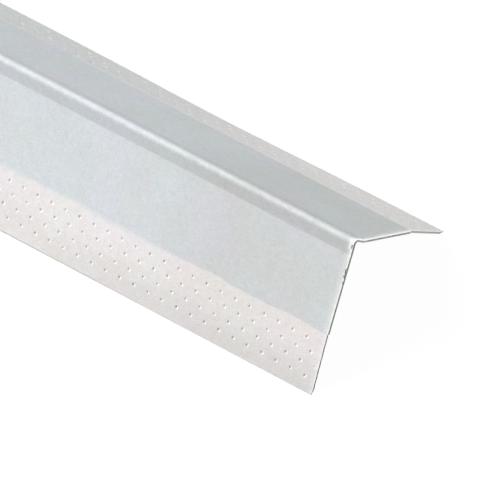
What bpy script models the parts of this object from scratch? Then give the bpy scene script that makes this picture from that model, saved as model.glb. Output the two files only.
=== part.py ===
"""Paper-faced drywall L-trim, a stock length.

A roll-formed angle of thin galvanized steel with a raised nose bead along its
corner, and a strip of joint-tape paper bonded over its outer face. The paper
runs past both steel edges as a feathering margin that folds slightly inwards.

The section frame has +Y along the top leg and -Z down the front leg, with the
outside corner of the two legs' outer faces at its origin. At rest the trim
stands like a tent on the two paper edges, nose up, and the row frame's origin
is in the middle of its footprint.
"""

import math

import bmesh
import bpy
from mathutils import Vector

# Driving dimensions, in metres and radians
STOCK_LENGTH = 2.4384
CORNER_ANGLE = math.radians(90.0)
FRONT_FLANGE = 0.0266
TOP_FLANGE = 0.0254
FRONT_MARGIN = 0.0173
TOP_MARGIN = 0.0158
FRONT_MARGIN_FOLD = math.radians(2.4)
TOP_MARGIN_FOLD = math.radians(8.2)

STEEL = 0.0004
PAPER = 0.00025
ADHESIVE = 0.0003

# The bead. The paper's face rises to the nose from both shoulders. The steel rises
# on the top side only: its front leg runs straight into a wider bend, and the paper
# is thicker where it fills the corner between the two.
FRONT_SHOULDER_REACH = 0.0039
FRONT_SHOULDER_RISE = math.radians(11.0)
TOP_SHOULDER_REACH = 0.0047
TOP_SHOULDER_RISE = math.radians(11.5)
SHOULDER_RADIUS = 0.0012
FACE_NOSE_RADIUS = 0.00115
STEEL_NOSE_INSIDE_RADIUS = 0.00085

FOLD_RADIUS = 0.0008

# How far past the steel's edge the paper folds
FOLD_CLEARANCE = 0.0005

# Facets round a bend
FACET = math.radians(8.0)

# Depths of each layer's two faces below the finished outer face
PAPER_FACES = (0.0, PAPER)
STEEL_FACES = (PAPER + ADHESIVE, PAPER + ADHESIVE + STEEL)

# Outer radius of each other bend, carried out to the flanges' finished face
STEEL_NOSE_RADIUS = STEEL_NOSE_INSIDE_RADIUS + STEEL_FACES[1]
FOLD_FACE_RADIUS = FOLD_RADIUS + PAPER


def heading(angle):
    """Unit vector in the section plane, turned anticlockwise from +Y."""
    return Vector((math.cos(angle), math.sin(angle)))


def crossing(point_a, along_a, point_b, along_b):
    """Where two lines of the section plane meet."""
    reach = (point_b - point_a).cross(along_b) / along_a.cross(along_b)
    return point_a + along_a * reach


def bead(along_steel):
    """Corners and bend radii over the nose, for the paper's face or for what follows the steel."""
    front = heading(-CORNER_ANGLE)
    top_shoulder = heading(0.0) * TOP_SHOULDER_REACH
    up_from_top = heading(math.pi - TOP_SHOULDER_RISE)
    if along_steel:
        nose = crossing(front * FRONT_FLANGE, -front, top_shoulder, up_from_top)
        return [nose, top_shoulder], [STEEL_NOSE_RADIUS, SHOULDER_RADIUS]
    front_shoulder = front * FRONT_SHOULDER_REACH
    up_from_front = heading(math.pi - CORNER_ANGLE + FRONT_SHOULDER_RISE)
    nose = crossing(front_shoulder, up_from_front, top_shoulder, up_from_top)
    return [front_shoulder, nose, top_shoulder], [SHOULDER_RADIUS, FACE_NOSE_RADIUS, SHOULDER_RADIUS]


def face_corners(with_margins, along_steel):
    """Corners of a line in the plane of the flanges' finished faces, and the radius of each bend.

    They run from the front leg's edge, over the nose, to the top leg's edge.
    """
    corners, radii = bead(along_steel)
    front = heading(-CORNER_ANGLE)
    top = heading(0.0)
    if not with_margins:
        return [front * FRONT_FLANGE] + corners + [top * TOP_FLANGE], radii

    front_fold = front * (FRONT_FLANGE + FOLD_CLEARANCE)
    top_fold = top * (TOP_FLANGE + FOLD_CLEARANCE)
    front_hem = front_fold + heading(FRONT_MARGIN_FOLD - CORNER_ANGLE) * (FRONT_MARGIN - FOLD_CLEARANCE)
    top_hem = top_fold + heading(-TOP_MARGIN_FOLD) * (TOP_MARGIN - FOLD_CLEARANCE)
    corners = [front_hem, front_fold] + corners + [top_fold, top_hem]
    return corners, [FOLD_FACE_RADIUS] + radii + [FOLD_FACE_RADIUS]


def lowered(corners, depth):
    """The same corners on a line at this depth below the outer face."""
    runs = [(b - a).normalized() for a, b in zip(corners, corners[1:])]
    inward = [Vector((run.y, -run.x)) * depth for run in runs]
    moved = [corners[0] + inward[0]]
    for i in range(1, len(runs)):
        moved.append(crossing(
            corners[i] + inward[i - 1], runs[i - 1],
            corners[i] + inward[i], runs[i],
        ))
    moved.append(corners[-1] + inward[-1])
    return moved


def bend(before, corner, after, radius):
    """Points round one bend, from where the first run ends to where the next starts."""
    run_in = (corner - before).normalized()
    run_out = (after - corner).normalized()
    turn = math.atan2(run_in.cross(run_out), run_in.dot(run_out))
    start = corner - run_in * radius * math.tan(abs(turn) / 2)
    side = math.copysign(1.0, turn)
    centre = start + Vector((-run_in.y, run_in.x)) * radius * side
    first = math.atan2(start.y - centre.y, start.x - centre.x)
    steps = max(2, math.ceil(abs(turn) / FACET))
    return [centre + heading(first + turn * i / steps) * radius for i in range(steps + 1)]


def layer_line(with_margins, along_steel, depth):
    """One face of a layer as a line of points. Its bends share their centres with the line at depth zero."""
    corners, radii = face_corners(with_margins, along_steel)
    moved = lowered(corners, depth)
    line = [moved[0]]
    for i, radius in enumerate(radii, start=1):
        clockwise = (corners[i] - corners[i - 1]).cross(corners[i + 1] - corners[i]) < 0
        line += bend(moved[i - 1], moved[i], moved[i + 1], radius - depth if clockwise else radius + depth)
    return line + [moved[-1]]


def rolled_strip(name, outer, inner, material):
    """A strip between two lines of the section, run out along the stock length."""
    bm = bmesh.new()
    start = -STOCK_LENGTH / 2
    bm.faces.new([bm.verts.new((start, p.x, p.y)) for p in outer + inner[::-1]])
    swept = bmesh.ops.extrude_face_region(bm, geom=bm.faces[:])
    moved = [item for item in swept["geom"] if isinstance(item, bmesh.types.BMVert)]
    bmesh.ops.translate(bm, verts=moved, vec=(STOCK_LENGTH, 0.0, 0.0))
    bmesh.ops.recalc_face_normals(bm, faces=bm.faces[:])

    mesh = bpy.data.meshes.new(name)
    bm.to_mesh(mesh)
    bm.free()
    mesh.materials.append(material)
    mesh.shade_smooth()
    mesh.set_sharp_from_angle(angle=math.radians(30.0))
    piece = bpy.data.objects.new(name, mesh)
    bpy.context.scene.collection.objects.link(piece)
    return piece


def finish(name, colour, roughness, metallic):
    """A plain Principled material."""
    material = bpy.data.materials.new(name)
    material.use_nodes = True
    shader = material.node_tree.nodes["Principled BSDF"]
    shader.inputs["Base Color"].default_value = (*colour, 1.0)
    shader.inputs["Roughness"].default_value = roughness
    shader.inputs["Metallic"].default_value = metallic
    return material


def galvanized_steel():
    return finish("galvanized_steel", (0.50, 0.53, 0.55), 0.38, 1.0)


def joint_tape_paper():
    return finish("joint_tape_paper", (0.72, 0.72, 0.71), 0.85, 0.0)


def steel_lines():
    """The steel's outer and inner face in the section."""
    return [layer_line(False, True, depth) for depth in STEEL_FACES]


def paper_lines():
    """The paper's finished face and its back, which follows the steel."""
    return layer_line(True, False, PAPER_FACES[0]), layer_line(True, True, PAPER_FACES[1])


def rest_frame():
    """An empty that leans the section over until both paper edges stand on the floor."""
    outer, inner = paper_lines()
    feet = inner[-1] - inner[0]
    lean = -math.atan2(feet.y, feet.x)

    def leaned(point):
        return Vector((
            point.x * math.cos(lean) - point.y * math.sin(lean),
            point.x * math.sin(lean) + point.y * math.cos(lean),
        ))

    standing = [leaned(point) for point in outer + inner]
    across = [point.x for point in standing]
    frame = bpy.data.objects.new("trim", None)
    bpy.context.scene.collection.objects.link(frame)
    frame.rotation_euler.x = lean
    frame.location.y = -(min(across) + max(across)) / 2
    frame.location.z = -min(point.y for point in standing)
    return frame


def metal_core():
    """The steel angle with its nose bead."""
    outer, inner = steel_lines()
    return rolled_strip("metal_core", outer, inner, galvanized_steel())


def paper_face():
    """The bonded paper strip with its two margins."""
    outer, inner = paper_lines()
    return rolled_strip("paper_face", outer, inner, joint_tape_paper())


def main():
    for obj in list(bpy.data.objects):
        bpy.data.objects.remove(obj, do_unlink=True)
    frame = rest_frame()
    for piece in (metal_core(), paper_face()):
        piece.parent = frame


main()
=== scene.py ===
import math
import random

import bmesh
import bpy
import numpy as np
from mathutils import Matrix, Vector, noise
from mathutils.geometry import delaunay_2d_cdt


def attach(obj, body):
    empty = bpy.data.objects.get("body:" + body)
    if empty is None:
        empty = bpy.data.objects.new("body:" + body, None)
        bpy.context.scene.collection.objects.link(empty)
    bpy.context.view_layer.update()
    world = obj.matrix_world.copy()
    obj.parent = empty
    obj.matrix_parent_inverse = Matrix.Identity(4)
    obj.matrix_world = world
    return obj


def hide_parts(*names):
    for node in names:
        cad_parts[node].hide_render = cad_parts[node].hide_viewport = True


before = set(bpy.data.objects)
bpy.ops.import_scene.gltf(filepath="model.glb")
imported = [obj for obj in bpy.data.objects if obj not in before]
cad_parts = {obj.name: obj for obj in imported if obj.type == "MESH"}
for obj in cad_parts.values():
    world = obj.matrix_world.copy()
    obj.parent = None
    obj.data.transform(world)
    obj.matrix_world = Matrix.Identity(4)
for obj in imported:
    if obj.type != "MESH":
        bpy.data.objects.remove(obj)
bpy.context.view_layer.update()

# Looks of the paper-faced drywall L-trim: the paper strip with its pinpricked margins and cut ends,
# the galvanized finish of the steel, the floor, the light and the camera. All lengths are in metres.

# Section of the trim, as in the part's source
STOCK_LENGTH = 2.4384
CORNER_ANGLE = math.radians(90.0)
FRONT_FLANGE = 0.0266
TOP_FLANGE = 0.0254
FRONT_MARGIN = 0.0173
TOP_MARGIN = 0.0158
FRONT_MARGIN_FOLD = math.radians(2.4)
TOP_MARGIN_FOLD = math.radians(8.2)
STEEL = 0.0004
PAPER = 0.00025
ADHESIVE = 0.0003
FRONT_SHOULDER_REACH = 0.0039
FRONT_SHOULDER_RISE = math.radians(11.0)
TOP_SHOULDER_REACH = 0.0047
TOP_SHOULDER_RISE = math.radians(11.5)
SHOULDER_RADIUS = 0.0012
FACE_NOSE_RADIUS = 0.00115
STEEL_NOSE_RADIUS = 0.00085 + PAPER + ADHESIVE + STEEL
FOLD_FACE_RADIUS = 0.0008 + PAPER
FOLD_CLEARANCE = 0.0005

# How deep the paper's back lies where it is glued down, and how finely bends and flats are divided
GLUE_GAP = 0.00002
GLUED_DEPTH = PAPER + ADHESIVE - GLUE_GAP
FACET = math.radians(5.0)
FLAT_STEP = 0.0024
FINE_STEP = 0.00025

# Pinpricks: pitch along the strip, rows across each margin from the steel's edge, and the first of each row
PRICK_PITCH = 0.00487
FRONT_ROWS = (0.00305, 0.00645, 0.00980, 0.01315)
FRONT_FIRST = (0.0057, 0.00355, 0.0012, 0.0035)
TOP_ROWS = (0.0027, 0.0056, 0.0085, 0.0114)
TOP_FIRST = (0.0043, 0.0018, 0.0043, 0.0018)

# How far a pinprick strays along the strip and across it, then the smallest and largest radius, depth as a
# share of the radius, and stretch
PRICK_STRAY = (0.00009, 0.00010)
PRICK_RADII = (0.00056, 0.00068)
PRICK_DEPTHS = (0.27, 0.36)
PRICK_STRETCHES = (0.95, 1.15)

# How far the last pinprick stays from the far end, and the rims from the fine columns at both ends
LAST_PRICK = 0.0013
RIM_GAP = 0.00013

# Sides of a pinprick, more of them within this length of the photographed end. The mark on the paper's back
# has its size and depth as shares of the pinprick's own
CLOSE_LENGTH = 0.14
CLOSE_PRICK_SIDES = 8
PRICK_SIDES = 5
BACK_SIDES = 4
BACK_SIZE = 0.8
BACK_DEPTH = 0.7

# Rings below a pinprick's rim: shares of its radius, depth, darkness and brushed fibres. The darkness is
# painted shade, and the brushed fibres are lightened partly as painted highlight. The close rings are made
# near the photographed end alone
CLOSE_RINGS = ((0.90, 0.08, 0.0, 0.8), (0.60, 0.45, 0.0, 1.0))
BOTTOM_RING = (0.26, 1.0, 1.0, 0.5)

# A pinprick's bottom lies off its middle by this share of its radius, along the strip and across it. Its
# fibres are brushed open and lightened, partly as painted highlight, on the side at this angle in the front
# margin, and all round in the top one
PRICK_LEAN = (-0.26, 0.06)
BRUSHED_HIGHLIGHT_TOWARDS = math.radians(-5.0)

# Darkness of the front margin's pinpricks, which is painted shade, and how strongly the fibres are brushed
# and
# lightened, partly as painted highlight: alike in the front margin, and each to its own degree in the top
# one, where few are strong
PRICK_DARKNESS = (0.55, 1.0)
FRONT_BRUSHED_HIGHLIGHT = 1.1
TOP_BRUSHED_HIGHLIGHT = 2.4
TOP_BRUSHED_HIGHLIGHT_POWER = 1.5

# Columns of the mesh along the strip: fine at the cut ends, one pitch apart near them, then several apart
END_STEPS = (0.0, 0.00015, 0.00036, 0.00064)
FIRST_COLUMN = 0.00265
NEAR_COLUMNS = 36
FAR_COLUMNS = 8
COARSE_PITCHES = 4

# The cut ends: how far the cut slopes back, the burr on the margins' back and where it sets in from the hem,
# and how far the trim reaches in
CUT_BEVEL = 0.00008
CUT_BURR = 0.00052
BURR_START = (0.0002, 0.0012)
TRIM_REACH = 0.0020

# How far the ragged paper stops short of the cut: its mean, and two noises as swing, length and two seeds
RAGGED_MEAN = 0.00006
RAGGED_NOISES = ((0.00008, 0.0013, 3.1, 5.0), (0.00006, 0.00045, 1.7, 8.0))

# Three bites out of the photographed end: distance down the front leg, half width and depth
BITES = ((0.00860, 0.00095, 0.00044), (0.00990, 0.00060, 0.00046), (0.01180, 0.00045, 0.00028))

# The split below the outer ply beside the nose: its two ends down the front leg, its depth, and the levels
# above, in and below it. A pit over 1 tells the material that a point is in the split, which it darkens with
# painted shade
SPLIT = (0.00200, 0.00060)
SPLIT_DEPTH = 0.00060
SPLIT_LEVELS = (0.02, 0.24, 0.46)
SPLIT_PIT = 16

# Levels of the cut between the face at 0 and the back at 1, and how rough the cut is
PLY_LEVELS = (*SPLIT_LEVELS, 0.60, 0.80)
PLY_ROUGH = 0.00003
PLY_ROUGH_LENGTH = 0.0004

# The steel: depths of its faces, lines across its flats, the burr inside the front leg's cut ends and how far
# in it starts, and how rough the cut is
STEEL_DEPTHS = (PAPER + ADHESIVE, PAPER + ADHESIVE + STEEL)
STEEL_STEP = 0.0004
STEEL_BURR = 0.00020
BURR_REACH = 0.0005
STEEL_ROUGH = 0.00005
STEEL_ROUGH_LENGTH = 0.0011

# The top margin's sag: its deepest place and its width from the photographed end, where it comes again and in
# what waves, how fast it grows towards the hem, and how far the hem moves down and in
SAG_AT = 0.075
SAG_WIDTH = 0.034
SAG_AGAIN = (0.14, 0.2)
SAG_WAVE = 0.09
SAG_POWER = 1.5
SAG_DOWN = 0.00042
SAG_IN = 0.00040

# Ripples in the margins: depth, lengths along and across the strip, how far from the steel they are full, and
# how near the hems they fade. Then the nose's wear: depth, length and reach from the crest
RIPPLE = 0.00006
RIPPLE_LENGTHS = (0.011, 0.006)
RIPPLE_START = 0.004
RIPPLE_FADE = 0.002
NOSE_WEAR = 0.00006
NOSE_WAVE = 0.010
NOSE_REACH = 0.0016

# How far the front shoulder wanders across the strip, in a long wave and a weaker short one
SHOULDER_WANDER = 0.00022
WANDER_WAVES = (0.016, 0.006)
SHORT_WAVE_SHARE = 0.6


def heading(angle):
    """Unit vector in the section plane, turned anticlockwise from +Y."""
    return Vector((math.cos(angle), math.sin(angle)))


def crossing(point_a, along_a, point_b, along_b):
    """Where two lines of the section plane meet."""
    reach = (point_b - point_a).cross(along_b) / along_a.cross(along_b)
    return point_a + along_a * reach


def section_corners(along_steel):
    """Corners from the front hem to the top hem, and each bend's radius, for the face or along the steel."""
    top = heading(0.0)
    front = heading(-CORNER_ANGLE)
    front_shoulder = front * FRONT_SHOULDER_REACH
    up_from_front = heading(math.pi - CORNER_ANGLE + FRONT_SHOULDER_RISE)
    top_shoulder = top * TOP_SHOULDER_REACH
    up_from_top = heading(math.pi - TOP_SHOULDER_RISE)
    if along_steel:
        bead = [crossing(front_shoulder, -front, top_shoulder, up_from_top), top_shoulder]
        radii = [STEEL_NOSE_RADIUS, SHOULDER_RADIUS]
    else:
        nose = crossing(front_shoulder, up_from_front, top_shoulder, up_from_top)
        bead = [front_shoulder, nose, top_shoulder]
        radii = [SHOULDER_RADIUS, FACE_NOSE_RADIUS, SHOULDER_RADIUS]
    front_fold = front * (FRONT_FLANGE + FOLD_CLEARANCE)
    top_fold = top * (TOP_FLANGE + FOLD_CLEARANCE)
    front_hem = front_fold + heading(FRONT_MARGIN_FOLD - CORNER_ANGLE) * (FRONT_MARGIN - FOLD_CLEARANCE)
    top_hem = top_fold + heading(-TOP_MARGIN_FOLD) * (TOP_MARGIN - FOLD_CLEARANCE)
    corners = [front_hem, front_fold] + bead + [top_fold, top_hem]
    return corners, [FOLD_FACE_RADIUS] + radii + [FOLD_FACE_RADIUS]


def section_path(along_steel):
    """A line over the section as runs and bends in turn: (distance across, length, start, angle, turn)."""
    corners, radii = section_corners(along_steel)
    path = []
    across = 0.0
    here = corners[0]
    for i, radius in enumerate(radii, start=1):
        run_in = (corners[i] - corners[i - 1]).normalized()
        run_out = (corners[i + 1] - corners[i]).normalized()
        turn = math.atan2(run_in.cross(run_out), run_in.dot(run_out))
        setback = radius * math.tan(abs(turn) / 2)
        start = corners[i] - run_in * setback
        angle = math.atan2(run_in.y, run_in.x)
        path.append((across, (start - here).length, here, angle, 0.0))
        across += (start - here).length
        path.append((across, radius * abs(turn), start, angle, turn))
        across += radius * abs(turn)
        here = corners[i] + run_out * setback
    run = corners[-1] - here
    path.append((across, run.length, here, math.atan2(run.y, run.x), 0.0))
    return path


FACE = section_path(False)
BACK = section_path(True)
WIDTH = FACE[-1][0] + FACE[-1][1]
BACK_WIDTH = BACK[-1][0] + BACK[-1][1]
FRONT_BAND = (FACE[0][0], FACE[1][0])
TOP_BAND = (FACE[10][0], WIDTH)
FRONT_SHOULDER = FACE[3][0] + FACE[3][1] / 2
NOSE = FACE[5][0] + FACE[5][1] / 2
TOP_SHOULDER = FACE[7][0] + FACE[7][1] / 2
FRONT_STEEL_EDGE = FACE[1][0] + FACE[1][1] / 2 + FOLD_CLEARANCE
TOP_STEEL_EDGE = FACE[9][0] + FACE[9][1] / 2 - FOLD_CLEARANCE
SHOULDER_BAND = (FACE[3][0] - 0.0025, FACE[4][0] + 0.0015)
OVER_NOSE = (NOSE - 0.001, NOSE + 0.001)

# Places of the face where its runs and bends begin, and the places of the back that lie below them
FACE_MARKS = (0.0, FACE[3][0], FACE[5][0], FACE[6][0], FACE[7][0], WIDTH)
BACK_MARKS = (0.0, FACE[3][0], BACK[3][0], BACK[4][0], BACK[5][0], BACK_WIDTH)


def down_front(distance):
    """Distance across the face at this distance down the front leg from the corner."""
    return FRONT_STEEL_EDGE + FRONT_FLANGE - distance


def on_section(path, across, depth):
    """Point of the section at this distance across and this depth below the line."""
    start, length, here, angle, turn = next(piece for piece in reversed(path) if piece[0] <= across + 1e-12)
    along = across - start
    if turn:
        radius = length / turn
        ahead = angle + along / radius
        point = here + Vector((math.sin(ahead) - math.sin(angle), math.cos(angle) - math.cos(ahead))) * radius
    else:
        ahead = angle
        point = here + heading(angle) * along
    run = heading(ahead)
    return point + Vector((run.y, -run.x)) * depth


def standing():
    """The turn and the shift that stand the section on its two paper edges."""
    outer = [on_section(FACE, across, 0.0) for across in (0.0, WIDTH)]
    inner = [on_section(BACK, across, PAPER) for across in (0.0, BACK_WIDTH)]
    feet = inner[1] - inner[0]
    lean = -math.atan2(feet.y, feet.x)
    turned = [Matrix.Rotation(lean, 2) @ point for point in outer + inner]
    ys = [point.x for point in turned]
    return lean, Vector((-(min(ys) + max(ys)) / 2, -min(point.y for point in turned)))


LEAN, SHIFT = standing()
LEAN_TURN = Matrix.Rotation(LEAN, 2)


def smooth_step(value, low, high):
    """0 at low, 1 at high, eased between."""
    t = min(1.0, max(0.0, (value - low) / (high - low)))
    return t * t * (3 - 2 * t)


def wave(x, length, seed):
    """Smooth random value from about -1 to 1 along the strip."""
    return noise.noise(Vector((x / length, seed, 0.37)))


def hem_slack(x):
    """How much the top margin sags at this place along the strip, from 0 to 1."""
    near = STOCK_LENGTH / 2 - x
    seen = math.exp(-((near - SAG_AT) / SAG_WIDTH) ** 2)
    further = smooth_step(near, *SAG_AGAIN) * (0.5 + 0.5 * wave(x, SAG_WAVE, 4.1))
    return min(1.0, seen + max(0.0, further))


def unevenness(x, across):
    """How far the face lies below a true one: ripples in the margins and a nose that isn't quite straight."""
    if across < NOSE:
        rippled = 1 - smooth_step(across, FRONT_STEEL_EDGE - RIPPLE_START, FRONT_STEEL_EDGE)
    else:
        rippled = smooth_step(across, TOP_STEEL_EDGE, TOP_STEEL_EDGE + RIPPLE_START)
    rippled *= smooth_step(min(across, WIDTH - across), 0.0, RIPPLE_FADE)
    ripple = 0.5 + 0.5 * noise.noise(Vector((x / RIPPLE_LENGTHS[0], across / RIPPLE_LENGTHS[1], 2.9)))
    on_nose = max(0.0, 1 - abs(across - NOSE) / NOSE_REACH)
    worn = 0.5 + 0.5 * wave(x, NOSE_WAVE, 6.4)
    return RIPPLE * rippled * ripple + NOSE_WEAR * on_nose * worn


def back_depth(x, across):
    """How deep the paper's back lies: glued over the steel, free in the margins, burred at their cut ends."""
    if FRONT_STEEL_EDGE - 1e-6 <= across <= TOP_STEEL_EDGE + 1e-6:
        return GLUED_DEPTH
    near = STOCK_LENGTH / 2 - abs(x)
    from_hem = min(across, WIDTH - across)
    at_cut = 1 - smooth_step(near, END_STEPS[1], END_STEPS[-1])
    return PAPER + CUT_BURR * at_cut * smooth_step(from_hem, *BURR_START)


def place(x, across, ply=0.0, depth=0.0):
    """World point of the sheet. ply is 0 on its face and 1 on its back; depth lowers the point further."""
    wandering = across
    if SHOULDER_BAND[0] < across < SHOULDER_BAND[1]:
        nearness = 1 - abs(across - FRONT_SHOULDER) / (FRONT_SHOULDER - SHOULDER_BAND[0])
        waves = wave(x, WANDER_WAVES[0], 1.3) + SHORT_WAVE_SHARE * wave(x, WANDER_WAVES[1], 2.2)
        wandering += max(0.0, nearness) * SHOULDER_WANDER * waves
    sunk = unevenness(x, across)
    point = on_section(FACE, wandering, depth + sunk)
    if ply:
        below = float(np.interp(across, FACE_MARKS, BACK_MARKS))
        margin = across < FRONT_STEEL_EDGE or across > TOP_STEEL_EDGE
        back = on_section(BACK, below, back_depth(x, across) + depth + (sunk if margin else 0.0))
        point = point.lerp(back, ply)
    beyond = across - TOP_BAND[0]
    if beyond > 0:
        slack = hem_slack(x) * (beyond / (TOP_BAND[1] - TOP_BAND[0])) ** SAG_POWER
        point += heading(-TOP_MARGIN_FOLD - math.pi / 2) * SAG_DOWN * slack
        point -= heading(-TOP_MARGIN_FOLD) * SAG_IN * slack
    turned = LEAN_TURN @ point
    return Vector((x, turned.x + SHIFT.x, turned.y + SHIFT.y))


def facing(x, across, ply=0.0):
    """Outward normal of the sheet on its face, or on its back with the same sense."""
    step = 0.00005
    ahead = place(x, min(WIDTH, across + step), ply) - place(x, max(0.0, across - step), ply)
    along = place(x + step, across, ply) - place(x - step, across, ply)
    return along.cross(ahead).normalized()


def stations(fine):
    """Distances across at which the mesh has a line, coarse or fine. The fine ones hold the coarse."""
    lines = [0.0]
    for start, length, _, _, turn in FACE:
        if turn:
            count = max(2, math.ceil(abs(turn) / FACET))
        else:
            count = max(1, math.ceil(length / FLAT_STEP))
        if fine and not turn:
            count *= max(1, math.ceil(length / count / FINE_STEP))
        lines += [start + length * step / count for step in range(1, count + 1)]
    lines += [FRONT_STEEL_EDGE, TOP_STEEL_EDGE]
    return sorted(round(line, 9) for line in lines)


COARSE = stations(False)
FINE = sorted(set(stations(True)) | set(COARSE))


def end_trim(across, side):
    """How far the paper stops short of the cut: a ragged edge, with bites out of the photographed end."""
    ragged = RAGGED_MEAN
    for swing, length, stride, seed in RAGGED_NOISES:
        ragged += swing * noise.noise(Vector((across / length, side * stride, seed)))
    bite = 0.0
    if side > 0:
        for distance, half_width, depth in BITES:
            bite = max(bite, depth * (1 - ((across - down_front(distance)) / half_width) ** 2))
    return max(0.0, ragged) + bite


def trimmed(x, across):
    """The place along the strip of a mesh column's point, drawn back where the cut is ragged."""
    side = 1 if x > 0 else -1
    near = STOCK_LENGTH / 2 - abs(x)
    margin = across <= FRONT_BAND[1] + 1e-8 or across >= TOP_BAND[0] - 1e-8
    share = max(0.0, 1 - near / (END_STEPS[-1] if margin else TRIM_REACH))
    return x - side * end_trim(across, side) * share


def column_places():
    """Places of the columns along the strip, each with whether its lines are the fine ones."""
    half = STOCK_LENGTH / 2
    count = int((STOCK_LENGTH - FIRST_COLUMN - 2 * END_STEPS[-1]) / PRICK_PITCH) + 1
    places = [(side * (half - step), True) for side in (-1, 1) for step in END_STEPS]
    for i in range(count):
        if i < NEAR_COLUMNS or i >= count - FAR_COLUMNS or i % COARSE_PITCHES == 0:
            places.append((half - FIRST_COLUMN - PRICK_PITCH * i, False))
    return sorted(places)


def pricks(rows, first, edge, outwards, rng):
    """Pinpricks of one margin: (x, across, radius, depth, stretch, turn, sides, darkness, brushed_highlight).
    """
    half = STOCK_LENGTH / 2
    found = []
    for reach, start in zip(rows, first):
        x = half - start
        while x > -half + LAST_PRICK:
            centre_x = x + rng.uniform(-PRICK_STRAY[0], PRICK_STRAY[0])
            centre_across = edge + outwards * (reach + rng.uniform(-PRICK_STRAY[1], PRICK_STRAY[1]))
            radius = min(rng.uniform(*PRICK_RADII), half - abs(x) - END_STEPS[-1] - RIM_GAP)
            depth = radius * rng.uniform(*PRICK_DEPTHS)
            sides = CLOSE_PRICK_SIDES if half - x < CLOSE_LENGTH else PRICK_SIDES
            shape = (radius, depth, rng.uniform(*PRICK_STRETCHES), rng.uniform(0, math.pi), sides)
            if outwards < 0:
                looks = (rng.uniform(*PRICK_DARKNESS), FRONT_BRUSHED_HIGHLIGHT)
            else:
                looks = (0.0, TOP_BRUSHED_HIGHLIGHT * rng.uniform(0.0, 1.0) ** TOP_BRUSHED_HIGHLIGHT_POWER)
            found.append((centre_x, centre_across, *shape, *looks))
            x -= PRICK_PITCH
    return found


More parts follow.
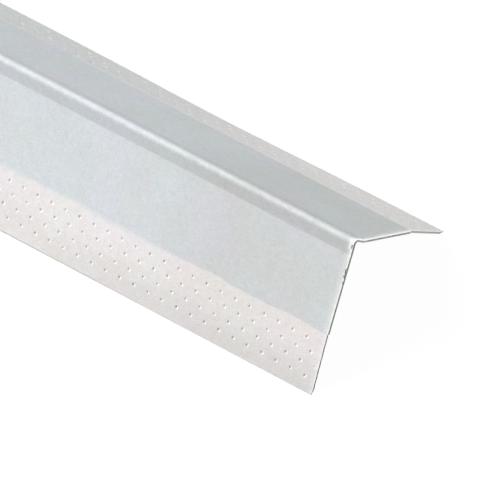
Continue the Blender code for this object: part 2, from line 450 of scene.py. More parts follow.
class Sheet:
    """Gathers the strip's points and faces, then makes the mesh."""

    def __init__(self):
        self.points = []
        self.normals = []
        self.across = []
        self.pit = []
        self.ply = []
        self.faces = []
        self.kinds = []

    def point(self, x, across, ply=0.0, depth=0.0, pit=0.0):
        normal = facing(x, across, ply)
        if ply == 1.0:
            normal = -normal
        self.points.append(place(x, across, ply, depth))
        self.normals.append(normal)
        self.across.append(across)
        self.pit.append(pit)
        self.ply.append(ply)
        return len(self.points) - 1

    def face(self, loop, kind):
        """kind is 0 on the face and the back, 1 in a pinprick of the face, 2 on a cut edge."""
        self.faces.append(loop)
        self.kinds.append(kind)

    def strip(self, low, high, back):
        """Faces between two columns of points, where the coarse one may skip lines of the fine one."""
        shared = sorted(set(low) & set(high))
        for a, b in zip(shared, shared[1:]):
            loop = [low[k] for k in sorted(low) if a <= k <= b]
            loop += [high[k] for k in sorted(high, reverse=True) if a <= k <= b]
            self.face(loop if back else loop[::-1], 0)

    def ring(self, prick, share, sides, ply=0.0, depth=0.0, pit=0.0, brushed_highlight=0.0):
        """A ring of points round a pinprick. On the face, a smaller one lies further off its middle."""
        x, across, radius, _, stretch, turn = prick[:6]
        if ply == 0.0:
            x += PRICK_LEAN[0] * radius * (1 - share)
            across += PRICK_LEAN[1] * radius * (1 - share)
        found = []
        for i in range(sides):
            angle = turn + math.tau * i / sides
            at = (x + math.cos(angle) * radius * share, across + math.sin(angle) * stretch * radius * share)
            # The brushed side is lightened, partly as painted highlight
            open_here = 1.0 if across > NOSE else max(0.0, math.cos(angle - BRUSHED_HIGHLIGHT_TOWARDS))
            found.append(self.point(*at, ply=ply, depth=depth, pit=pit - brushed_highlight * open_here))
        return found

    def dimple(self, prick, back):
        """Points and faces of one pinprick. It returns the rim, for the sheet round it."""
        x, across, _, depth, _, _, sides, darkness, brushed_highlight = prick
        if back:
            rim = self.ring(prick, BACK_SIZE, BACK_SIDES, ply=1.0)
            tip = self.point(x, across, ply=1.0, depth=depth * BACK_DEPTH)
            for i in range(BACK_SIDES):
                self.face([rim[(i + 1) % BACK_SIDES], rim[i], tip], 0)
            return rim
        rings = [self.ring(prick, 1.0, sides)]
        close = CLOSE_RINGS if sides == CLOSE_PRICK_SIDES else ()
        # dark is painted shade; fibres lightens the brushed side, partly as painted highlight
        for share, down, dark, fibres in (*close, BOTTOM_RING):
            rings.append(self.ring(
                prick, share, sides, depth=depth * down, pit=darkness * dark, brushed_highlight=brushed_highlight * fibres,
            ))
        for wide, narrow in zip(rings, rings[1:]):
            for i in range(sides):
                after = (i + 1) % sides
                self.face([wide[i], wide[after], narrow[after], narrow[i]], 1)
        self.face(rings[-1], 1)
        return rings[0]

    def band(self, low_x, high_x, low, high, holes, back):
        """The flat margin between two columns, with its pinpricks."""
        owners = [low[k] for k in sorted(low)] + [high[k] for k in sorted(high, reverse=True)]
        flat = [Vector((low_x, k)) for k in sorted(low)]
        flat += [Vector((high_x, k)) for k in sorted(high, reverse=True)]
        loops = [list(range(len(owners)))]
        for prick in holes:
            rim = self.dimple(prick, back)
            x, across, radius, _, stretch, turn = prick[:6]
            size = radius * (BACK_SIZE if back else 1.0)
            start = len(owners)
            for i in range(len(rim)):
                angle = turn + math.tau * i / len(rim)
                flat.append(Vector((x + math.cos(angle) * size, across + math.sin(angle) * stretch * size)))
            owners += rim
            loops.append(list(range(start, len(owners))))
        scaled = [p * 1000 for p in flat]
        edges = [(loop[i], loop[(i + 1) % len(loop)]) for loop in loops for i in range(len(loop))]
        points, _, triangles, origin, _, _ = delaunay_2d_cdt(scaled, edges, [], 1, 1e-6)
        for triangle in triangles:
            corners = {origin[i][0] for i in triangle}
            if any(corners <= set(hole) for hole in loops[1:]):
                continue
            loop = [owners[origin[i][0]] for i in triangle]
            corner = [points[i] for i in triangle]
            outwards = (corner[1] - corner[0]).cross(corner[2] - corner[0]) > 0
            self.face(loop if outwards != back else loop[::-1], 0)

    def cut_end(self, x, outer, back):
        """The cut end: a grid of plies with a rough surface, split below the outer ply beside the nose."""
        side = 1 if x > 0 else -1
        columns = []
        for across in sorted(outer):
            near_split = smooth_step(across, down_front(SPLIT[0]), down_front(SPLIT[1]))
            split = min(1.0, 8 * near_split * (1 - near_split)) if side > 0 else 0.0
            column = [outer[across]]
            for ply in PLY_LEVELS:
                rough = PLY_ROUGH * noise.noise(Vector((across / PLY_ROUGH_LENGTH, ply * 5, side)))
                short = end_trim(across, side) - CUT_BEVEL * ply + rough
                opened = split if ply == SPLIT_LEVELS[1] else 0.0
                at = x - side * (max(0.0, short) + SPLIT_DEPTH * opened)
                column.append(self.point(at, across, ply=ply, pit=SPLIT_PIT * opened))
            columns.append(column + [back[across]])
        for low, high in zip(columns, columns[1:]):
            for i in range(len(low) - 1):
                loop = [low[i], low[i + 1], high[i + 1], high[i]]
                self.face(loop if side > 0 else loop[::-1], 2)
        return columns[0], columns[-1]

    def mesh(self, name):
        mesh = bpy.data.meshes.new(name)
        mesh.from_pydata(self.points, [], self.faces)
        for label, values in (("across", self.across), ("pit", self.pit), ("ply", self.ply)):
            mesh.attributes.new(label, "FLOAT", "POINT").data.foreach_set("value", values)
        mesh.shade_smooth()
        normals = []
        for polygon, kind in zip(mesh.polygons, self.kinds):
            if kind == 2:
                normals += [polygon.normal[:]] * polygon.loop_total
            elif kind == 1:
                normals += [mesh.vertices[i].normal[:] for i in polygon.vertices]
            else:
                normals += [self.normals[i][:] for i in polygon.vertices]
        mesh.normals_split_custom_set(normals)
        return mesh


def within(column, low, high):
    """The points of a column between two distances across."""
    return {across: point for across, point in column.items() if low - 1e-8 <= across <= high + 1e-8}


def paper_strip():
    """The whole paper: outer face, back, hems and cut ends, as one closed mesh."""
    rng = random.Random(41)
    front = pricks(FRONT_ROWS, FRONT_FIRST, FRONT_STEEL_EDGE, -1, rng)
    top = pricks(TOP_ROWS, TOP_FIRST, TOP_STEEL_EDGE, 1, rng)
    sheet = Sheet()
    half = STOCK_LENGTH / 2
    made = []
    for x, fine in column_places():
        lines = FINE if fine else COARSE
        side = 1 if x > 0 else -1
        bevel = side * CUT_BEVEL * (half - abs(x) < 1e-9)
        outer = {across: sheet.point(trimmed(x, across) - bevel * 0.5, across) for across in lines}
        back = {across: sheet.point(trimmed(x, across), across, ply=1.0) for across in lines}
        made.append((x, outer, back))

    for (low_x, low_outer, low_back), (high_x, high_outer, high_back) in zip(made, made[1:]):
        in_end = half - abs(low_x + high_x) / 2 < END_STEPS[-1]
        for low, high, is_back in ((low_outer, high_outer, False), (low_back, high_back, True)):
            if in_end:
                sheet.strip(low, high, is_back)
                continue
            middle = (FRONT_BAND[1], TOP_BAND[0])
            sheet.strip(within(low, *middle), within(high, *middle), is_back)
            for band, holes in ((FRONT_BAND, front), (TOP_BAND, top)):
                inside = [hole for hole in holes if low_x < hole[0] < high_x]
                sheet.band(low_x, high_x, within(low, *band), within(high, *band), inside, is_back)

    cuts = {x: sheet.cut_end(x, outer, back) for x, outer, back in (made[0], made[-1])}
    for which, hem in enumerate((COARSE[0], COARSE[-1])):
        edges = [cuts[x][which] if x in cuts else [outer[hem], back[hem]] for x, outer, back in made]
        for low, high in zip(edges, edges[1:]):
            loop = high[::-1] + low
            sheet.face(loop if which == 0 else loop[::-1], 2)
    return sheet.mesh("paper")


def steel_strip():
    """The steel under the paper, with rough cut ends and a ragged burr inside them on the front leg."""
    low = BACK[1][0] + BACK[1][1] / 2 + FOLD_CLEARANCE
    high = BACK[7][0] + BACK[7][1] / 2 - FOLD_CLEARANCE
    lines = [low, high]
    for start, length, _, _, turn in BACK:
        count = math.ceil(abs(turn) / FACET) if turn else math.ceil(length / STEEL_STEP)
        lines += [start + length * step / count for step in range(count + 1)]
    lines = sorted({round(line, 9) for line in lines if low <= line <= high})
    half = STOCK_LENGTH / 2
    points = []
    across = []
    for side, near in ((-1, 0.0), (-1, BURR_REACH), (1, BURR_REACH), (1, 0.0)):
        for depth in STEEL_DEPTHS:
            for line in lines:
                inside = depth == STEEL_DEPTHS[1] and near == 0.0
                ragged = 0.5 + 0.5 * noise.noise(Vector((line / STEEL_ROUGH_LENGTH, side * 2.3, 7.7)))
                burr = STEEL_BURR * (0.7 + 0.6 * ragged) * (1 - smooth_step(line, *OVER_NOSE))
                point = LEAN_TURN @ on_section(BACK, line, depth + (burr if inside else 0.0))
                rough = STEEL_ROUGH * ragged if near == 0.0 else 0.0
                points.append(Vector((side * (half - near - rough), point.x + SHIFT.x, point.y + SHIFT.y)))
                across.append(line)
    count = len(lines)
    faces = []
    for column in range(3):
        outer, inner = 2 * column * count, (2 * column + 1) * count
        for i in range(count - 1):
            faces.append([outer + i, outer + i + 1, outer + 2 * count + i + 1, outer + 2 * count + i])
            faces.append([inner + i + 1, inner + i, inner + 2 * count + i, inner + 2 * count + i + 1])
        faces.append([outer, outer + 2 * count, inner + 2 * count, inner])
        outer, inner = outer + count - 1, inner + count - 1
        faces.append([inner, inner + 2 * count, outer + 2 * count, outer])
    for i in range(count - 1):
        faces.append([i + 1, i, count + i, count + i + 1])
        faces.append([6 * count + i, 6 * count + i + 1, 7 * count + i + 1, 7 * count + i])
    mesh = bpy.data.meshes.new("steel")
    mesh.from_pydata(points, [], faces)
    mesh.attributes.new("across", "FLOAT", "POINT").data.foreach_set("value", across)
    mesh.shade_smooth()
    mesh.set_sharp_from_angle(angle=math.radians(30.0))
    return mesh


class Shading:
    """A material under construction: short ways to add nodes and join them."""

    def __init__(self, name, roughness, specular, metallic=0.0):
        self.material = bpy.data.materials.new(name)
        self.material.use_nodes = True
        self.nodes = self.material.node_tree.nodes
        self.shader = self.nodes["Principled BSDF"]
        self.shader.inputs["Roughness"].default_value = roughness
        self.shader.inputs["Specular IOR Level"].default_value = specular
        self.shader.inputs["Metallic"].default_value = metallic

    def join(self, source, socket):
        if isinstance(source, (int, float)):
            socket.default_value = source
        elif isinstance(source, (tuple, list)):
            socket.default_value = source if len(source) == len(socket.default_value) else (*source, 1.0)
        else:
            self.material.node_tree.links.new(source, socket)

    def node(self, kind, inputs, output=0, **settings):
        made = self.nodes.new(kind)
        for key, value in settings.items():
            setattr(made, key, value)
        for key, source in inputs.items():
            self.join(source, made.inputs[key])
        return made.outputs[output]

    def math(self, operation, a, b=0.0, c=0.0):
        return self.node("ShaderNodeMath", {0: a, 1: b, 2: c}, operation=operation)

    def scale(self, value, low, high, to_low=0.0, to_high=1.0, smooth=True):
        inputs = {"Value": value, "From Min": low, "From Max": high, "To Min": to_low, "To Max": to_high}
        eased = "SMOOTHSTEP" if smooth else "LINEAR"
        return self.node("ShaderNodeMapRange", inputs, interpolation_type=eased)

    def mix(self, factor, a, b, blend="MIX"):
        made = self.nodes.new("ShaderNodeMix")
        made.data_type = "RGBA"
        made.blend_type = blend
        self.join(factor, made.inputs["Factor"])
        self.join(a, made.inputs[6])
        self.join(b, made.inputs[7])
        return made.outputs[2]

    def attribute(self, name):
        return self.node("ShaderNodeAttribute", {}, 2, attribute_name=name)

    def noise(self, vector, scale, detail=2.0, roughness=0.5, offset=None):
        if offset:
            vector = self.node("ShaderNodeVectorMath", {0: vector, 1: offset}, operation="ADD")
        inputs = {"Vector": vector, "Scale": scale, "Detail": detail, "Roughness": roughness}
        return self.node("ShaderNodeTexNoise", inputs)

    def streaks(self, vector, turn, length, width, threshold, offset):
        """Short straight fibres lying at this turn: 1 on a fibre, 0 between."""
        turned = self.node("ShaderNodeMapping", {
            "Vector": vector, "Location": offset, "Rotation": (0, 0, turn),
        })
        stretched = self.node(
            "ShaderNodeVectorMath", {0: turned, 1: (1 / length, 1 / width, 0.0)}, operation="MULTIPLY",
        )
        value = self.noise(stretched, 1.0, detail=0.0)
        return self.scale(value, threshold, threshold + FIBRE_EDGE)

    def fibres(self, vector, turns, length, width, threshold, seed):
        """Fibres lying at several turns."""
        found = None
        for turn in turns:
            offset = (seed * (turn + 0.3), seed * 2 * turn, 0.0)
            one = self.streaks(vector, turn, length, width, threshold, offset)
            found = one if found is None else self.math("MAXIMUM", found, one)
        return found

    def from_cut(self, x):
        """Distance from the nearer cut end at this place along the strip."""
        return self.math("SUBTRACT", STOCK_LENGTH / 2, self.math("ABSOLUTE", x))

    def shaded(self, colour, shade):
        """The colour multiplied by a number."""
        grey = self.node("ShaderNodeCombineColor", {0: shade, 1: shade, 2: shade})
        return self.mix(1.0, colour, grey, "MULTIPLY")

    def tinted(self, colour, tint, share):
        """The colour multiplied by a tint, as far as the share says."""
        return self.mix(share, colour, self.mix(1.0, colour, tint, "MULTIPLY"))

    def bump(self, height, distance, strength, normal=None):
        inputs = {"Height": height, "Distance": distance, "Strength": strength}
        if normal:
            inputs["Normal"] = normal
        return self.node("ShaderNodeBump", inputs)


# Fibres: how softly they end, how much lighter or darker they are, and how much they stand up
FIBRE_EDGE = 0.06
FIBRE_SHADE = 0.060
FIBRE_HEIGHT = 0.8

# Colours of the paper over the steel and in both margins, each far from the cut and near it
BONDED_COLOURS = ((0.690, 0.726, 0.750), (0.640, 0.652, 0.656))
FRONT_MARGIN_COLOURS = ((0.858, 0.828, 0.817), (0.806, 0.768, 0.750))
TOP_MARGIN_COLOURS = ((0.780, 0.810, 0.790), (0.882, 0.868, 0.852))

# Tint of the top flange near the cut; painted shade on the nose's front slope and at a pinprick's bottom
TOP_SHADE = (0.986, 1.012, 1.000)
SLOPE_PAINTED_SHADE = (0.860, 0.860, 0.857)
PRICK_PAINTED_SHADE = (0.44, 0.42, 0.415)

# Tints of the patches, from one side of a noise to the other
GREEN_TO_LAVENDER = ((0.980, 1.000, 0.984), (1.002, 0.988, 1.012))
WARM_TO_BLUE = ((1.008, 1.000, 0.988), (0.990, 1.000, 1.010))

# The brushed fibres, lightened partly as painted highlight, the white core where the paper is torn, and the
# painted shade on the inner side of the cut: up to the top margin, and in it
BRUSHED_HIGHLIGHT_COLOUR = (0.990, 0.975, 0.970)
CORE_COLOUR = (0.91, 0.91, 0.90)
CUT_SHADE_COLOURS = ((0.15, 0.155, 0.15), (0.36, 0.365, 0.355))

# Distances from the cut over which something changes: how softly the steel's edge shows through, the paper's
# colours, the top margin's colour, the darkening of the front margin towards its hem and the painted shade of
# the hems' dark line
EDGE_SOFTENS = (0.030, 0.075)
COLOURS_CHANGE = (0.030, 0.085)
TOP_MARGIN_CHANGES = (0.035, 0.130)
HEM_DARKENING_ENDS = (0.060, 0.125)
HEM_LINE_DARKENS = (0.070, 0.120)

# How softly the steel's front edge shows through near the cut and far from it, and how much that line wobbles
EDGE_SOFTNESS = (0.0003, 0.0011)
EDGE_WOBBLE = 0.0022

# Darkening of the front margin towards its hem: where it fades from the hem, its strength far from the cut,
# and what is added near the cut
HEM_DARKENING_WIDTH = (0.001, 0.013)
HEM_DARKENING_FAR = 0.026
HEM_DARKENING_NEAR = 0.090

# Bands across the nose: its front slope from the shoulder on, darkened by painted shade, the crest, lightened
# as wear and painted highlight, and a painted light line behind it
SLOPE_START = (FRONT_SHOULDER - 0.0004, FRONT_SHOULDER + 0.0004)
SLOPE_END = (NOSE - 0.0012, NOSE - 0.0004)
CREST = NOSE - 0.0006
CREST_WIDTH = (0.0005, 0.0012)
CREST_WEAR_AND_HIGHLIGHT = (0.09, 0.19)
BEHIND_START = (NOSE + 0.0002, NOSE + 0.0008)
BEHIND_END = (TOP_SHOULDER - 0.0004, TOP_SHOULDER + 0.0004)
BEHIND_NOSE_PAINTED_LIGHT = 0.055

# The dark line of the hems, painted shade along their edges: its width, its strength near the cut and far
# from it, and its share on the top
HEM_LINE_WIDTH = (0.00014, 0.00038)
HEM_LINE_SHADE = (0.05, 0.40)
HEM_LINE_ON_TOP = 0.35

# How far the torn core shows: on the front leg and on the top one, and what is added beside the nose
CORE_REACHES = (0.00030, 0.00055)
SWELL = 0.00075
SWELL_AT = NOSE - 0.0016
SWELL_WIDTH = 0.0022

# Pits between which the painted shade of the split sets in
SPLIT_PITS = (1.02, 1.6)


def paper_patterns(s, sheet):
    """Noises and fibres of the paper by name, from the widest to the finest."""
    return {
        "cloud": s.noise(sheet, 34.0, detail=2.0),
        "hue": s.noise(sheet, 62.0, detail=2.0, offset=(7.3, 1.9, 0.0)),
        "patch": s.noise(sheet, 90.0, detail=3.0, offset=(3.1, 0.7, 0.0)),
        "mottle": s.noise(sheet, 420.0, detail=4.0, roughness=0.6),
        "light": s.fibres(sheet, (0.2, 1.1, 1.9, 2.7), 0.0024, 0.00030, 0.655, 1.0),
        "dark": s.fibres(sheet, (0.0, 0.6, 1.5, 2.4), 0.0026, 0.00028, 0.665, 5.0),
        "speck": s.noise(sheet, 1100.0, detail=1.0, offset=(1.7, 5.3, 0.0)),
        "grain": s.noise(sheet, 2600.0, detail=3.0, roughness=0.65),
    }


def over_steel(s, across, from_cut, patch):
    """1 where the steel lies under the paper, 0 in the margins."""
    wobble = s.math("MULTIPLY", s.math("SUBTRACT", patch, 0.5), EDGE_WOBBLE)
    soft = s.scale(from_cut, *EDGE_SOFTENS, *EDGE_SOFTNESS)
    low = s.math("SUBTRACT", FRONT_STEEL_EDGE, soft)
    high = s.math("ADD", FRONT_STEEL_EDGE, soft)
    over_front = s.scale(s.math("ADD", across, wobble), low, high)
    over_top = s.scale(across, TOP_STEEL_EDGE - 0.0003, TOP_STEEL_EDGE + 0.0003, 1.0, 0.0)
    return s.math("MULTIPLY", over_front, over_top)


def ground_colour(s, across, from_cut, patterns, bonded):
    """The paper's colour over the steel and in both margins, with its patches."""
    over_nose = s.scale(across, *OVER_NOSE)
    near_cut = s.scale(from_cut, *COLOURS_CHANGE, 1.0, 0.0)
    near_cut = s.math("ADD", near_cut, s.scale(patterns["cloud"], 0.3, 0.7, -0.25, 0.25))
    metal = s.mix(near_cut, *BONDED_COLOURS)
    metal = s.tinted(metal, TOP_SHADE, s.math("MULTIPLY", over_nose, near_cut))
    # Painted shade on the nose's front slope
    slope = s.math("MULTIPLY", s.scale(across, *SLOPE_START), s.scale(across, *SLOPE_END, 1.0, 0.0))
    metal = s.tinted(metal, SLOPE_PAINTED_SHADE, slope)

    front_margin = s.mix(near_cut, *FRONT_MARGIN_COLOURS)
    # The front margin grows darker towards its hem, and more so near the cut
    darkening = s.math("MULTIPLY_ADD", s.scale(from_cut, *HEM_DARKENING_ENDS, 1.0, 0.0), HEM_DARKENING_NEAR, HEM_DARKENING_FAR)
    darkening = s.math("MULTIPLY", s.scale(across, *HEM_DARKENING_WIDTH, 1.0, 0.0), darkening)
    front_margin = s.shaded(front_margin, s.math("SUBTRACT", 1.0, darkening))
    top_margin = s.mix(s.scale(from_cut, *TOP_MARGIN_CHANGES, 1.0, 0.0), *TOP_MARGIN_COLOURS)
    colour = s.mix(bonded, s.mix(over_nose, front_margin, top_margin), metal)

    colour = s.mix(1.0, colour, s.mix(s.scale(patterns["hue"], 0.36, 0.64), *GREEN_TO_LAVENDER), "MULTIPLY")
    return s.mix(1.0, colour, s.mix(s.scale(patterns["patch"], 0.34, 0.66), *WARM_TO_BLUE), "MULTIPLY")


def paper_shade(s, across, from_cut, patterns):
    """How light the paper is: mottling, fibres, specks, the crest lightened as wear and painted highlight, a
    painted light line behind the nose, and the painted shade of the hems' dark line.
    """
    mottle, patch, speck = patterns["mottle"], patterns["patch"], patterns["speck"]
    shade = s.scale(mottle, 0.25, 0.75, 0.978, 1.022, smooth=False)
    shade = s.math("MULTIPLY", shade, s.scale(patch, 0.25, 0.75, 0.982, 1.018, smooth=False))
    shade = s.math("ADD", shade, s.math("MULTIPLY", patterns["light"], FIBRE_SHADE))
    shade = s.math("SUBTRACT", shade, s.math("MULTIPLY", patterns["dark"], FIBRE_SHADE))
    shade = s.math("ADD", shade, s.scale(speck, 0.68, 0.76, 0.0, 0.085))
    shade = s.math("SUBTRACT", shade, s.scale(speck, 0.32, 0.24, 0.0, 0.090))

    # The crest is lightened, partly as wear and partly as painted highlight
    off_crest = s.math("ABSOLUTE", s.math("SUBTRACT", across, CREST))
    on_crest = s.scale(off_crest, *CREST_WIDTH, 1.0, 0.0)
    shade = s.math("ADD", shade, s.math("MULTIPLY", on_crest, s.scale(mottle, 0.3, 0.7, *CREST_WEAR_AND_HIGHLIGHT)))
    # Painted light on the top side just behind the nose
    behind = s.math("MULTIPLY", s.scale(across, *BEHIND_START), s.scale(across, *BEHIND_END, 1.0, 0.0))
    shade = s.math("ADD", shade, s.math("MULTIPLY", behind, BEHIND_NOSE_PAINTED_LIGHT))

    # The hems' dark line is painted shade along their edges
    from_hem = s.math("MINIMUM", across, s.math("SUBTRACT", WIDTH, across))
    uneven = s.math("ADD", from_cut, s.math("MULTIPLY", patch, 0.05))
    hem_line = s.scale(uneven, *HEM_LINE_DARKENS, *HEM_LINE_SHADE)
    hem_line = s.math("MULTIPLY", hem_line, s.scale(mottle, 0.35, 0.65, 0.55, 1.25))
    hem_line = s.math("MULTIPLY", hem_line, s.scale(across, *OVER_NOSE, 1.0, HEM_LINE_ON_TOP))
    hem_line = s.math("MULTIPLY", hem_line, s.scale(from_hem, *HEM_LINE_WIDTH, 1.0, 0.0))
    return s.math("SUBTRACT", shade, hem_line)


def torn_core(s, colour, across, from_cut, mottle):
    """The colour with the torn white core at the cut ends, which shows furthest beside the nose."""
    off_swell = s.math("DIVIDE", s.math("SUBTRACT", across, SWELL_AT), SWELL_WIDTH)
    swell = s.math("EXPONENT", s.math("MULTIPLY", s.math("MULTIPLY", off_swell, off_swell), -1.0))
    reach = s.math("MULTIPLY_ADD", swell, SWELL, s.scale(across, NOSE, OVER_NOSE[1], *CORE_REACHES))
    reach = s.math("MULTIPLY", reach, s.scale(mottle, 0.35, 0.65, 0.30, 1.60, smooth=False))
    torn = s.math("SUBTRACT", 1.0, s.scale(s.math("DIVIDE", from_cut, reach), 0.6, 1.3))
    faded = s.math("SUBTRACT", 1.0, s.scale(from_cut, 0.0003, 0.0022))
    colour = s.mix(s.math("MULTIPLY", faded, 0.35), colour, CORE_COLOUR)
    return s.mix(torn, colour, CORE_COLOUR)


def painted_cut_shade(s, colour, across, from_cut, bonded, pit):
    """The colour with painted shade on the inner side of the cut and in the split."""
    # Painted shade on the inner side of the cut and in the split
    low = s.math("MULTIPLY_ADD", bonded, 0.50, 0.16)
    high = s.math("MULTIPLY_ADD", bonded, 0.50, 0.30)
    inner = s.scale(s.attribute("ply"), low, high)
    inner = s.math("MULTIPLY", inner, s.scale(from_cut, 0.0006, 0.0014, 1.0, 0.0))
    darkening = s.mix(s.scale(across, TOP_STEEL_EDGE - 0.0005, TOP_STEEL_EDGE + 0.0005), *CUT_SHADE_COLOURS)
    return s.mix(s.math("MAXIMUM", inner, s.scale(pit, *SPLIT_PITS)), colour, darkening)


def paper_material():
    """Joint-tape paper. Its pit is above 0 where a pinprick or the split gets painted shade, and below 0
    where brushed fibres are lightened, partly as painted highlight.
    """
    s = Shading("paper_look", roughness=0.82, specular=0.22)
    x = s.node("ShaderNodeSeparateXYZ", {0: s.node("ShaderNodeTexCoord", {}, 3)}, 0)
    across = s.attribute("across")
    pit = s.attribute("pit")
    from_cut = s.from_cut(x)
    patterns = paper_patterns(s, s.node("ShaderNodeCombineXYZ", {0: x, 1: across}))
    bonded = over_steel(s, across, from_cut, patterns["patch"])

    colour = ground_colour(s, across, from_cut, patterns, bonded)
    colour = s.shaded(colour, paper_shade(s, across, from_cut, patterns))
    # Painted shade in the pinpricks, then the brushed fibres lightened, partly as painted highlight
    colour = s.tinted(colour, PRICK_PAINTED_SHADE, pit)
    colour = s.mix(s.math("MULTIPLY", pit, -1.0), colour, BRUSHED_HIGHLIGHT_COLOUR)
    colour = torn_core(s, colour, across, from_cut, patterns["mottle"])
    colour = painted_cut_shade(s, colour, across, from_cut, bonded, pit)
    s.join(colour, s.shader.inputs["Base Color"])

    grain = patterns["grain"]
    s.join(s.scale(grain, 0.2, 0.8, 0.74, 0.92, smooth=False), s.shader.inputs["Roughness"])
    raised = s.math("MULTIPLY", s.math("SUBTRACT", patterns["light"], patterns["dark"]), FIBRE_HEIGHT)
    normal = s.bump(s.math("ADD", grain, raised), 0.00004, 0.35)
    normal = s.bump(patterns["patch"], 0.00025, 0.30, normal)
    s.join(normal, s.shader.inputs["Normal"])
    return s.material


# The galvanized finish; the sheared ends of the front and the top leg, darker partly by their own colour and
# partly by painted shade; and the paper dust on them beside the nose: its colour, its middle, and how far
# from there it fades
STEEL_COLOUR = (0.50, 0.53, 0.55)
SHEARED_AND_SHADED_COLOURS = ((0.20, 0.205, 0.20), (0.31, 0.315, 0.305))
DUSTED_COLOUR = (0.42, 0.425, 0.42)
DUSTED = BACK[5][0] - 0.0016
DUST_FADES = (0.0015, 0.0045)


def steel_material():
    """Mill-galvanized sheet with a faint spangle, darker on its sheared ends and close to them, partly as
    painted shade.
    """
    s = Shading("galvanized_look", roughness=0.42, specular=0.5, metallic=0.9)
    place_at = s.node("ShaderNodeTexCoord", {}, 3)
    across = s.attribute("across")
    from_cut = s.from_cut(s.node("ShaderNodeSeparateXYZ", {0: place_at}, 0))
    spangle = s.node("ShaderNodeTexVoronoi", {"Vector": place_at, "Scale": 160.0, "Randomness": 1.0}, 1)
    grade = s.node("ShaderNodeSeparateColor", {0: spangle}, 0)
    fine = s.noise(place_at, 900.0, detail=3.0)
    cloud = s.noise(place_at, 30.0, detail=3.0)
    tone = s.scale(grade, 0.0, 1.0, 0.92, 1.06, smooth=False)
    colour = s.shaded(STEEL_COLOUR, s.math("ADD", tone, s.scale(cloud, 0.3, 0.7, -0.04, 0.04)))

    normal_x = s.node("ShaderNodeSeparateXYZ", {0: s.node("ShaderNodeNewGeometry", {}, 3)}, 0)
    sheared = s.scale(s.math("ABSOLUTE", normal_x), 0.8, 0.95)
    # Darker near the cut and on the sheared ends, partly their own colour and partly painted shade
    colour = s.mix(s.scale(from_cut, 0.0004, 0.0011, 0.25, 0.0), colour, SHEARED_AND_SHADED_COLOURS[0])
    off_dust = s.math("ABSOLUTE", s.math("SUBTRACT", across, DUSTED))
    dusty = s.scale(off_dust, *DUST_FADES, 1.0, 0.0)
    dusty = s.math("MULTIPLY", dusty, s.scale(fine, 0.3, 0.7, 0.75, 1.0))
    cut = s.mix(s.scale(across, DUSTED, DUSTED + 0.002), *SHEARED_AND_SHADED_COLOURS)
    colour = s.mix(sheared, colour, s.mix(dusty, cut, DUSTED_COLOUR))
    s.join(colour, s.shader.inputs["Base Color"])

    rough = s.scale(grade, 0.0, 1.0, 0.34, 0.52, smooth=False)
    s.join(s.math("ADD", rough, s.math("MULTIPLY", sheared, 0.3)), s.shader.inputs["Roughness"])
    normal = s.bump(fine, 0.00004, 0.25)
    s.join(s.bump(grade, 0.00005, 0.2, normal), s.shader.inputs["Normal"])
    return s.material


# Light: share of white that each source gives a white surface that faces it
KEY_LEVEL = 1.07
KEY_FROM = (-0.654, -0.164, 0.738)
KEY_SPREAD = math.radians(24.0)
FILL_LEVEL = 0.60
FILL_FROM = (0.994, 0.05, 0.085)
FILL_SPREAD = math.radians(7.0)
SKY_LEVEL = 0.205
FLOOR_SIZE = 60.0
FLOOR_GLOW = 0.975
FLOOR_PAINT = 0.035
FLOOR_COLOUR = 0.78


def sun(name, level, towards, spread):
    lamp = bpy.data.lights.new(name, "SUN")
    lamp.energy = level * math.pi
    lamp.angle = spread
    obj = bpy.data.objects.new(name, lamp)
    obj.rotation_euler = Vector(towards).to_track_quat("Z", "Y").to_euler()
    bpy.context.scene.collection.objects.link(obj)


def seen_directly(nodes, links):
    """1 for what the camera sees, also in a reflection or through glass."""
    path = nodes.new("ShaderNodeLightPath")
    total = path.outputs["Is Camera Ray"]
    for name in ("Is Glossy Ray", "Is Transmission Ray"):
        either = nodes.new("ShaderNodeMath")
        either.operation = "MAXIMUM"
        links.new(total, either.inputs[0])
        links.new(path.outputs[name], either.inputs[1])
        total = either.outputs[0]
    return total


def sky():
    world = bpy.data.worlds.new("studio")
    world.use_nodes = True
    nodes, links = world.node_tree.nodes, world.node_tree.links
    background = nodes["Background"]
    background.inputs["Color"].default_value = (1.0, 1.0, 1.0, 1.0)
    level = nodes.new("ShaderNodeMapRange")
    level.inputs["To Min"].default_value = SKY_LEVEL
    level.inputs["To Max"].default_value = 1.0
    links.new(seen_directly(nodes, links), level.inputs["Value"])
    links.new(level.outputs[0], background.inputs["Strength"])
    bpy.context.scene.world = world


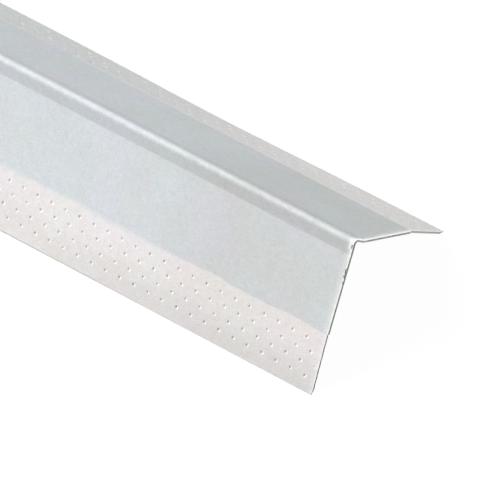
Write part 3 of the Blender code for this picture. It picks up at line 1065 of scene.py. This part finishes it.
def floor_sheet():
    half = FLOOR_SIZE / 2
    bm = bmesh.new()
    bm.faces.new([bm.verts.new(corner) for corner in (
        (-half, -half, 0.0), (half, -half, 0.0), (half, half, 0.0), (-half, half, 0.0),
    )])
    mesh = bpy.data.meshes.new("floor")
    bm.to_mesh(mesh)
    bm.free()
    material = bpy.data.materials.new("floor_look")
    material.use_nodes = True
    nodes, links = material.node_tree.nodes, material.node_tree.links
    nodes.remove(nodes["Principled BSDF"])
    plain = nodes.new("ShaderNodeBsdfDiffuse")
    plain.inputs["Color"].default_value = (FLOOR_COLOUR, FLOOR_COLOUR, FLOOR_COLOUR, 1.0)
    shaded = nodes.new("ShaderNodeBsdfDiffuse")
    shaded.inputs["Color"].default_value = (FLOOR_PAINT, FLOOR_PAINT, FLOOR_PAINT, 1.0)
    glow = nodes.new("ShaderNodeEmission")
    glow.inputs["Strength"].default_value = FLOOR_GLOW
    both = nodes.new("ShaderNodeAddShader")
    links.new(shaded.outputs[0], both.inputs[0])
    links.new(glow.outputs[0], both.inputs[1])
    choose = nodes.new("ShaderNodeMixShader")
    links.new(seen_directly(nodes, links), choose.inputs[0])
    links.new(plain.outputs[0], choose.inputs[1])
    links.new(both.outputs[0], choose.inputs[2])
    links.new(choose.outputs[0], nodes["Material Output"].inputs["Surface"])
    mesh.materials.append(material)
    floor = bpy.data.objects.new("floor", mesh)
    bpy.context.scene.collection.objects.link(floor)


# The camera looks past the cut end from in front and above, rolled a little, through a long lens
VIEW_AZIMUTH = math.radians(57.502)
VIEW_ELEVATION = math.radians(53.034)
VIEW_ROLL = math.radians(23.85)
VIEW_DISTANCE = 3.0
VIEW_LENS = 871.7
CORNER_ASIDE = (0.029463, -0.0004225)


def camera():
    data = bpy.data.cameras.new("camera")
    data.lens = VIEW_LENS
    obj = bpy.data.objects.new("camera", data)
    bpy.context.scene.collection.objects.link(obj)
    level = Vector((math.cos(VIEW_AZIMUTH), math.sin(VIEW_AZIMUTH), 0.0))
    ahead = Vector((
        -math.sin(VIEW_AZIMUTH) * math.cos(VIEW_ELEVATION),
        math.cos(VIEW_AZIMUTH) * math.cos(VIEW_ELEVATION),
        -math.sin(VIEW_ELEVATION),
    ))
    up = level.cross(ahead)
    right = level * math.cos(VIEW_ROLL) - up * math.sin(VIEW_ROLL)
    up = right.cross(ahead)
    corner = Vector((STOCK_LENGTH / 2, SHIFT.x, SHIFT.y))
    middle = corner - right * CORNER_ASIDE[0] - up * CORNER_ASIDE[1]
    turn = Matrix((right, up, -ahead)).transposed().to_4x4()
    obj.matrix_world = Matrix.Translation(middle - ahead * VIEW_DISTANCE) @ turn
    bpy.context.scene.camera = obj


def main():
    paper = bpy.data.objects.new("paper", paper_strip())
    bpy.context.scene.collection.objects.link(paper)
    paper.data.materials.append(paper_material())
    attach(paper, "root")
    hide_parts("paper_face")

    steel = bpy.data.objects.new("steel", steel_strip())
    bpy.context.scene.collection.objects.link(steel)
    steel.data.materials.append(steel_material())
    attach(steel, "root")
    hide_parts("metal_core")

    floor_sheet()
    sky()
    sun("key", KEY_LEVEL, KEY_FROM, KEY_SPREAD)
    sun("fill", FILL_LEVEL, FILL_FROM, FILL_SPREAD)
    camera()
    bpy.context.scene.view_settings.view_transform = "Standard"


main()
